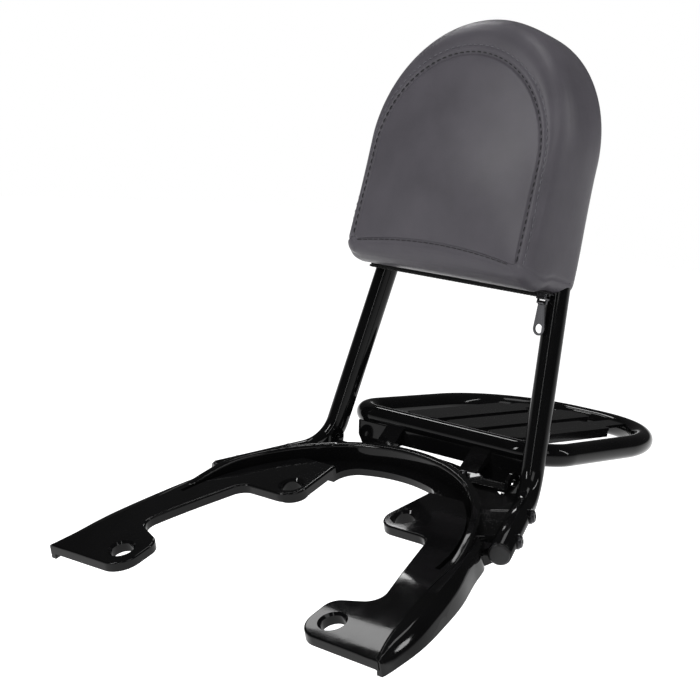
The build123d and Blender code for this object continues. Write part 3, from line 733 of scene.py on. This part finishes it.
    def measure(self):
        """Normals from neighbours, and lengths along rows and columns from the seams."""
        down = np.gradient(self.points, axis=0)
        around = (np.roll(self.points, -1, 1) - np.roll(self.points, 1, 1)) / 2
        self.normals = unit(np.cross(around, down))
        middle = self.points.mean((0, 1))
        if ((self.points - middle) * self.normals).sum() < 0:
            self.normals = -self.normals
        steps = np.linalg.norm(np.diff(self.points, axis=0), axis=2)
        length = np.concatenate([np.zeros((1, steps.shape[1])), np.cumsum(steps, 0)])
        self.from_seam = length - length[self.seam_row]
        ring = self.points[self.seam_row]
        steps = np.linalg.norm(np.diff(ring, axis=0), axis=1)
        self.round_seam = np.concatenate([[0], np.cumsum(steps)])
        steps = np.linalg.norm(np.diff(self.points, axis=1), axis=2)
        length = np.concatenate([np.zeros((len(steps), 1)), np.cumsum(steps, 1)], 1)
        self.from_side = np.min([np.abs(length - length[:, c, None]) for c in self.seam_columns], 0)

    def swell(self):
        """Holds the skin at its seams, its back and the zip's track, and lets the filling's pressure
        swell the rest. A coarser grid is simulated as cloth, and its moves are read back between
        its points."""
        rows, cols = self.points.shape[:2]
        some = np.linspace(0, rows - 1, self.COARSE_ROWS).astype(int)
        some = np.unique(np.concatenate([some, [self.seam_row]]))
        around = np.arange(0, cols, self.COARSE_STEP)
        around = np.unique(np.concatenate([around, self.seam_columns]))
        start = self.points[np.ix_(some, around)]
        held = np.zeros(start.shape[:2], bool)
        held[some == self.seam_row] = True
        panel_keys = np.full(len(self.panel_rows), self.SEAM_KEY + 1)
        keys = np.concatenate([self.band_rows, panel_keys])[some]
        held[keys <= self.HELD_KEY] = True
        track = (keys >= self.ZIP_KEYS[0]) & (keys <= self.ZIP_KEYS[1])
        held[np.ix_(track, self.bottom_columns[around])] = True
        for column in self.seam_columns:
            held[np.ix_(keys <= self.SEAM_KEY, around == column)] = True
        moved = cloth_moves(start, held, self.pad.pressure)
        # Linear reading between coarse rows, then between coarse columns round the closed arch
        row_at = np.interp(np.arange(rows), some, np.arange(len(some)))
        ends = np.append(around, cols)
        col_at = np.interp(np.arange(cols), ends, np.arange(len(ends)))
        r0, c0 = np.minimum(row_at.astype(int), len(some) - 2), col_at.astype(int)
        c1 = (c0 + 1) % len(around)
        rf, cf = (row_at - r0)[:, None, None], (col_at - c0)[None, :, None]
        near = moved[r0] * (1 - rf) + moved[r0 + 1] * rf
        out = ((near[:, c0] * (1 - cf) + near[:, c1] * cf) * self.normals).sum(-1)
        # The panel rises forwards to its crown; the rest swells along its normals, up to a limit
        panel = (np.arange(rows) > self.seam_row)[:, None]
        rise = self.domed(out)
        rise = rise * self.pad.crown / rise[panel[:, 0]].max()
        limit = self.pad.swell
        out = np.where(panel, rise, limit * np.tanh(out / limit))
        ways = np.where(panel[..., None], self.front, self.normals)
        self.points = self.points + out[..., None] * ways
        self.measure()

    def domed(self, out):
        """Smooth rise of the front panel: the sum of a_ij x^i h^j, with i even and i + j up to the
        highest power, that comes nearest to the simulated rise, eased to nothing at the seam."""
        x = self.flat[0] / np.abs(self.flat[0]).max()
        h = self.flat[1] / np.abs(self.flat[1]).max()
        powers = [(i, j) for i in range(0, self.POWER + 1, 2) for j in range(self.POWER + 1 - i)]
        terms = np.stack([x**i * h**j for i, j in powers], -1)
        panel = slice(self.seam_row, None)
        at_seam = np.arange(len(out)) == self.seam_row
        weight = np.where(at_seam, self.SEAM_WEIGHT, 1.0)[panel, None]
        known = (terms[panel] * weight[..., None]).reshape(-1, len(powers))
        shares = np.linalg.lstsq(known, (out[panel] * weight).ravel(), rcond=None)[0]
        return (terms @ shares) * (1 - np.exp(-np.maximum(self.from_seam, 0) / self.SEAM_EASE))

    def sew(self):
        """Pulls the skin in along the seams and puffs the welt between the two stitched lines."""
        welt, pitch = self.pad.welt, self.pad.stitch_pitch
        far = self.from_seam
        wave = np.cos(2 * pi * self.round_seam / pitch)[None, :]
        pucker = 1 - self.PUCKER + self.PUCKER * wave
        sides = self.soft_mask()[None, :]

        def line(at, wide):
            """Groove along the seam: exp(-((distance - at) / wide)^2)."""
            return np.exp(-(((far - at) / wide) ** 2))

        move = -self.SEAM_PULL * line(0.0, self.SEAM_WIDE)
        move -= sides * self.OUTER_PULL * line(-welt, self.OUTER_WIDE) * pucker
        across_welt = (far + welt / 2) / (welt * self.WELT_SHARE)
        move += sides * self.WELT_PUFF * np.exp(-(across_welt ** 4))
        move -= sides * self.INNER_PULL * line(self.INNER_AT, self.INNER_WIDE) * pucker
        move -= (1 - sides) * self.GUSSET_PULL * line(self.GUSSET_AT, self.GUSSET_WIDE) * pucker
        keys = np.concatenate([self.band_rows, np.zeros(len(self.panel_rows))])[:, None]
        sewn = np.clip((keys - self.SIDE_START) / self.SIDE_RUN, 0, 1)
        move -= sewn * self.SIDE_PULL * np.exp(-((self.from_side / self.SIDE_WIDE) ** 2))
        self.points = self.points + MM * move[..., None] * self.normals

    def soft_mask(self):
        """1 on the sides and over the top, 0 along the bottom, soft between."""
        mask = self.side_columns.astype(float)
        kernel = np.hanning(7) / np.hanning(7).sum()
        reach = len(kernel) // 2
        return np.convolve(np.concatenate([mask[-reach:], mask, mask[:reach]]), kernel, "valid")

    def line_at(self, distance, columns):
        """Points and normals of the skin at a distance from the front seam, for some columns."""
        far = self.from_seam[:, columns]
        low = np.clip((far < distance).sum(0) - 1, 0, len(far) - 2)
        pick = np.arange(far.shape[1])
        share = (distance - far[low, pick]) / (far[low + 1, pick] - far[low, pick])
        points, normals = self.points[:, columns], self.normals[:, columns]
        share = share[:, None]
        mixed = points[low, pick] * (1 - share) + points[low + 1, pick] * share
        return mixed, unit(normals[low, pick])

    def faces(self):
        """Quads of the skin and the small caps in the middle of its back and its front."""
        return capped_faces(*self.points.shape[:2])


CLOTH_FRAMES = 20


def cloth_moves(start, held, pressure):
    """Moves of a closed grid of points after some frames as cloth under pressure."""
    scene = bpy.context.scene
    mesh = bpy.data.meshes.new("swelling")
    mesh.from_pydata(start.reshape(-1, 3).tolist(), [], capped_faces(*start.shape[:2]))
    mesh.update()
    trial = bpy.data.objects.new("swelling", mesh)
    scene.collection.objects.link(trial)
    outward(trial)
    group = trial.vertex_groups.new(name="held")
    group.add(np.flatnonzero(held.ravel()).tolist(), 1.0, "REPLACE")
    cloth = trial.modifiers.new("cloth", "CLOTH")
    cloth.point_cache.frame_start, cloth.point_cache.frame_end = 1, CLOTH_FRAMES
    settings = cloth.settings
    settings.quality = 6
    settings.mass = 0.25
    settings.tension_stiffness = settings.compression_stiffness = 18
    settings.shear_stiffness = 8
    settings.bending_stiffness = 0.6
    settings.use_pressure = True
    settings.uniform_pressure_force = pressure
    settings.vertex_group_mass = "held"
    settings.effector_weights.gravity = 0
    for number in range(1, CLOTH_FRAMES + 1):
        scene.frame_set(number)
    shaped = trial.evaluated_get(bpy.context.evaluated_depsgraph_get()).to_mesh()
    ends = np.empty(len(shaped.vertices) * 3)
    shaped.vertices.foreach_get("co", ends)
    bpy.data.objects.remove(trial)
    bpy.data.meshes.remove(mesh)
    scene.frame_set(1)
    return ends.reshape(start.shape) - start


# Faces round a stitch, its bow as a share of its radius, and its depth in the skin
STITCH_SIDES = 6
STITCH_BOW = 1.2
STITCH_SINK = 0.0001


def stitches(line, normals, pitch, long, radius):
    """Row of sewn stitches: each is a short rod that bows out of the skin, point = place + run u +
    (bow (1 - u squared) - sink) n + radius r(u) (cos a n + sin a across), with u from -1 to 1."""
    steps = np.linalg.norm(np.diff(line, axis=0), axis=1)
    travelled = np.concatenate([[0], np.cumsum(steps)])
    at = np.arange(pitch / 2, travelled[-1], pitch)

    def read(values):
        """Values along the line at each stitch's place."""
        return np.stack([np.interp(at, travelled, values[:, i]) for i in range(3)], 1)

    place, normal = read(line), unit(read(normals))
    way = unit(read(np.gradient(line, axis=0)))
    across = unit(np.cross(normal, way))
    u = np.array([-1.0, -0.82, -0.3, 0.3, 0.82, 1.0])
    thick = radius * np.array([0.35, 0.85, 1.0, 1.0, 0.85, 0.35])
    angle = np.linspace(0, 2 * pi, STITCH_SIDES, endpoint=False)
    spine = place[:, None] + way[:, None] * (u * long / 2)[:, None]
    spine = spine + normal[:, None] * (radius * STITCH_BOW * (1 - u**2) - STITCH_SINK)[:, None]
    turn = angle[:, None]
    ring = np.cos(turn) * normal[:, None, None] + np.sin(turn) * across[:, None, None]
    points = spine[:, :, None] + thick[None, :, None, None] * ring
    one = capped_faces(len(u), len(angle))
    size = len(u) * len(angle)
    faces = [[corner + n * size for corner in face] for n in range(len(at)) for face in one]
    return points, faces


class SISSYBAR_OT_pad(bpy.types.Operator):
    """Makes the crowned leather pad, sewn along its seams, with its stitches."""

    bl_idname = "sissybar.pad"
    bl_label = "Leather pad"

    def execute(self, context):
        pad = context.scene.sissy_pad
        skin = PadSurface(pad)
        cover = finish("pad_leather")
        piece = new_piece("leather_pad", skin.points, skin.faces(), cover)
        outward(piece)
        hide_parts("pad_cover", "foam_front", "foam_back")
        sides, bottom = skin.side_columns, skin.bottom_columns
        # Name, distance from the front seam, columns, length, radius and thread
        rows = (
            # The outer row takes the lighter thread, whose paleness is a painted highlight
            ("welt_stitches_outer", -pad.welt, sides, 0.0044, 0.00044, "painted_glint_thread"),
            ("welt_stitches_inner", -0.0016, sides, 0.0048, 0.00055, "pad_thread"),
            ("gusset_stitches", -0.0012, bottom, 0.0062, 0.00042, "pad_thread"),
        )
        for name, distance, columns, long, radius, thread in rows:
            line, normals = skin.line_at(distance, columns)
            points, faces = stitches(line, normals, pad.stitch_pitch, long, radius)
            row = new_piece(name, points, faces, finish(thread))
            outward(row)
        return {"FINISHED"}


# Stage

def soft_lamp(name, at, aim, size, power):
    """Rectangular softbox that faces a point."""
    lamp = bpy.data.lights.new(name, "AREA")
    lamp.shape = "RECTANGLE"
    lamp.size, lamp.size_y = size
    lamp.energy = power
    holder = bpy.data.objects.new(name, lamp)
    holder.location = at
    holder.rotation_euler = (Vector(aim) - Vector(at)).to_track_quat("-Z", "Y").to_euler()
    bpy.context.scene.collection.objects.link(holder)


def seen_directly(tree):
    """1 where a camera, glossy or transmission ray looks, 0 for the rest."""
    path = tree.nodes.new("ShaderNodeLightPath")
    total = path.outputs["Is Camera Ray"]
    for name in ("Is Glossy Ray", "Is Transmission Ray"):
        most = tree.nodes.new("ShaderNodeMath")
        most.operation = "MAXIMUM"
        tree.links.new(total, most.inputs[0])
        tree.links.new(path.outputs[name], most.inputs[1])
        total = most.outputs[0]
    return total


class SISSYBAR_OT_stage(bpy.types.Operator):
    """Sets the camera, the floor, the lamps and the white surroundings."""

    bl_idname = "sissybar.stage"
    bl_label = "Stage"

    # Name, place, aim, size and power of each lamp
    LAMPS = (
        ("key_softbox", (1.7, -1.1, 1.6), (0.0, 0.15, 0.25), (1.0, 1.2), 12.0),
        ("front_softbox", (-0.66, -1.68, 1.22), (0.0, 0.1, 0.35), (0.24, 0.8), 16.0),
        ("top_softbox", (0.1, 0.2, 2.2), (0.0, 0.1, 0.1), (0.9, 0.6), 8.0),
        ("neck_strip", (-0.83, 0.635, 1.05), (-0.83, 0.635, 0.0), (0.40, 0.155), 2.6),
        ("lobe_strip", (-0.82, 0.25, 1.12), (-0.82, 0.25, 0.0), (0.40, 0.125), 1.2),
        ("rim_strip", (1.3, 0.7, 1.0), (0.1, 0.0, 0.0), (0.10, 1.0), 6.0),
        ("edge_strip", (0.75, -2.3, 0.9), (0.0, 0.1, 0.2), (0.10, 1.6), 5.0),
    )

    SENSOR = 36.0
    CLIP = (0.05, 50.0)
    # Mirrored surroundings: heights between which they fade, and their brightness at each
    FADE, MIRRORED = (0.0, 0.12), (1.0, 0.05)
    DIFFUSE = 0.32
    # Floor: half its side, its colour and the glow that makes it white where it is seen
    FLOOR_HALF, FLOOR_GREY, FLOOR_GLOW = 6.0, 0.8, 0.9

    def execute(self, context):
        scene = context.scene
        stage = scene.sissy_stage
        scene.view_settings.view_transform = "Standard"
        self.set_camera(scene, stage)
        self.set_world(scene)
        self.set_floor(scene, stage.floor_z)
        for lamp in self.LAMPS:
            soft_lamp(*lamp)
        return {"FINISHED"}

    def set_camera(self, scene, stage):
        """Camera of the photograph, turned about its line of sight by the roll."""
        lens = bpy.data.cameras.new("photo_camera")
        lens.lens, lens.sensor_width = stage.lens, self.SENSOR
        lens.clip_start, lens.clip_end = self.CLIP
        camera = bpy.data.objects.new("photo_camera", lens)
        az, el = stage.azimuth, stage.elevation
        back = Vector((sin(az) * cos(el), -cos(az) * cos(el), sin(el)))
        level = Vector((cos(az), sin(az), 0))
        over = back.cross(level)
        right = cos(stage.roll) * level + sin(stage.roll) * over
        up = back.cross(right)
        turned = Matrix((right, up, back)).transposed().to_4x4()
        camera.matrix_world = Matrix.Translation(stage.camera_at) @ turned
        scene.collection.objects.link(camera)
        scene.camera = camera

    def set_world(self, scene):
        """White surroundings where seen directly; mirrored, they are white up to a dark ceiling."""
        world = bpy.data.worlds.new("studio")
        world.use_nodes = True
        scene.world = world
        tree = world.node_tree
        sky = tree.nodes["Background"]
        sky.inputs["Color"].default_value = (1, 1, 1, 1)
        place = tree.nodes.new("ShaderNodeSeparateXYZ")
        way = tree.nodes.new("ShaderNodeTexCoord").outputs["Generated"]
        tree.links.new(way, place.inputs["Vector"])
        ceiling = map_range(tree, place.outputs["Z"], self.FADE, self.MIRRORED)
        path = tree.nodes.new("ShaderNodeLightPath")
        white = map_range(tree, path.outputs["Is Camera Ray"], (0, 1), (ceiling, 1.0))
        strength = map_range(tree, seen_directly(tree), (0, 1), (self.DIFFUSE, white))
        tree.links.new(strength, sky.inputs["Strength"])

    def set_floor(self, scene, z):
        """Matt floor that glows white where it is seen directly."""
        mesh = bpy.data.meshes.new("studio_floor")
        half, grey = self.FLOOR_HALF, self.FLOOR_GREY
        corners = [(-half, -half, z), (half, -half, z), (half, half, z), (-half, half, z)]
        mesh.from_pydata(corners, [], [(0, 1, 2, 3)])
        floor = bpy.data.objects.new("studio_floor", mesh)
        scene.collection.objects.link(floor)
        paper = bpy.data.materials.new("floor_paper")
        paper.use_nodes = True
        tree = paper.node_tree
        surface = tree.nodes["Principled BSDF"]
        surface.inputs["Base Color"].default_value = (grey, grey, grey, 1)
        surface.inputs["Roughness"].default_value = 0.9
        surface.inputs["Specular IOR Level"].default_value = 0.0
        surface.inputs["Emission Color"].default_value = (1, 1, 1, 1)
        glow = map_range(tree, seen_directly(tree), (0, 1), (0.0, self.FLOOR_GLOW))
        tree.links.new(glow, surface.inputs["Emission Strength"])
        mesh.materials.append(paper)


class SISSYBAR_PT_tools(bpy.types.Panel):
    """Lists the steps that dress the sissy bar."""

    bl_idname = "SISSYBAR_PT_tools"
    bl_label = "Sissy bar"
    bl_space_type = "VIEW_3D"
    bl_region_type = "UI"
    bl_category = "Sissy bar"

    def draw(self, context):
        for step in STEPS:
            self.layout.operator(step.bl_idname)


STEPS = (
    SISSYBAR_OT_stage,
    SISSYBAR_OT_tubes,
    SISSYBAR_OT_casting,
    SISSYBAR_OT_sheets,
    SISSYBAR_OT_web,
    SISSYBAR_OT_fasteners,
    SISSYBAR_OT_zipper,
    SISSYBAR_OT_pad,
)
GROUPS = {
    "sissy_pad": PadSizes,
    "sissy_tubes": TubeSizes,
    "sissy_finishes": Finishes,
    "sissy_stage": StageSizes,
}


def register():
    for group in GROUPS.values():
        bpy.utils.register_class(group)
    for name, group in GROUPS.items():
        setattr(bpy.types.Scene, name, PointerProperty(type=group))
    for step in STEPS:
        bpy.utils.register_class(step)
    bpy.utils.register_class(SISSYBAR_PT_tools)


def unregister():
    bpy.utils.unregister_class(SISSYBAR_PT_tools)
    for step in reversed(STEPS):
        bpy.utils.unregister_class(step)
    for name, group in GROUPS.items():
        delattr(bpy.types.Scene, name)
        bpy.utils.unregister_class(group)


def main():
    register()
    bpy.ops.sissybar.stage()
    bpy.ops.sissybar.tubes()
    bpy.ops.sissybar.casting()
    bpy.ops.sissybar.sheets()
    bpy.ops.sissybar.web()
    bpy.ops.sissybar.fasteners()
    bpy.ops.sissybar.zipper()
    bpy.ops.sissybar.pad()


if __name__ == "__main__":
    main()
